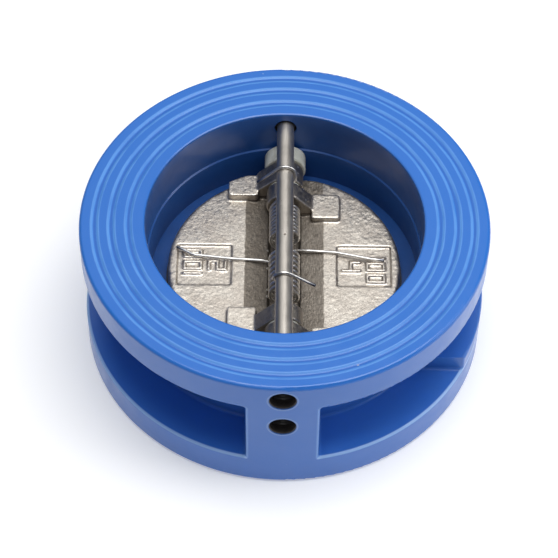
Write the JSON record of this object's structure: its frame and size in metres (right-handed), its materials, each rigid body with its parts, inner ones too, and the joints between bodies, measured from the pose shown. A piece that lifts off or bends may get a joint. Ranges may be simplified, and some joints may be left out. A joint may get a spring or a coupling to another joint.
{
  "type": "wafer check valve",
  "caption": "Dual-plate wafer check valve: a blue coated ring body with grooved faces, two spring-closed half-disc plates on a common hinge pin, and a stop pin above them.",
  "frame": {"origin": "centre of the inlet face, which is the face it stands on", "axes": "+Z along the flow, from the inlet face to the outlet face; the hinge pin and stop pin lie along Y; +X to the right-hand plate"},
  "size_m": [0.162, 0.162, 0.064],
  "materials": {
    "blue_epoxy": "glossy fusion-bonded epoxy coating on cast iron",
    "cast_stainless": "grainy investment casting, lightly blasted",
    "stainless_bar": "drawn and ground bar",
    "spring_wire": "bright drawn spring wire",
    "white_ptfe": "plain turned PTFE",
    "black_rubber": "moulded, matt",
    "dark_steel": "oiled, blackened"
  },
  "bodies": {
    "root": {"valve_body": "blue_epoxy", "seat_ring": "black_rubber", "hinge_pin": "stainless_bar", "stop_pin": "stainless_bar", "rear_spring": "spring_wire", "front_spring": "spring_wire", "rear_body_bearing": "white_ptfe", "front_body_bearing": "white_ptfe", "rear_plate_washer": "white_ptfe", "front_plate_washer": "white_ptfe", "front_hinge_plug": "dark_steel", "front_hinge_plug_seal": "black_rubber", "front_stop_plug": "dark_steel", "front_stop_plug_seal": "black_rubber", "rear_hinge_plug": "dark_steel", "rear_hinge_plug_seal": "black_rubber", "rear_stop_plug": "dark_steel", "rear_stop_plug_seal": "black_rubber"},
    "left_plate": {"left_plate": "cast_stainless"},
    "right_plate": {"right_plate": "cast_stainless"}
  },
  "joints": [
    {"name": "left_plate_hinge", "type": "hinge", "parent": "root", "child": "left_plate", "pos_m": [0, 0, 0.0387], "axis": [0, 1, 0], "range_deg": [0, 79], "stiffness_Nm_per_rad": 0.065, "springref_deg": -80.21, "deforming": ["front_spring"]},
    {"name": "right_plate_hinge", "type": "hinge", "parent": "root", "child": "right_plate", "pos_m": [0, 0, 0.0387], "axis": [0, -1, 0], "range_deg": [0, 79], "stiffness_Nm_per_rad": 0.065, "springref_deg": -80.21, "deforming": ["rear_spring"]}
  ]
}
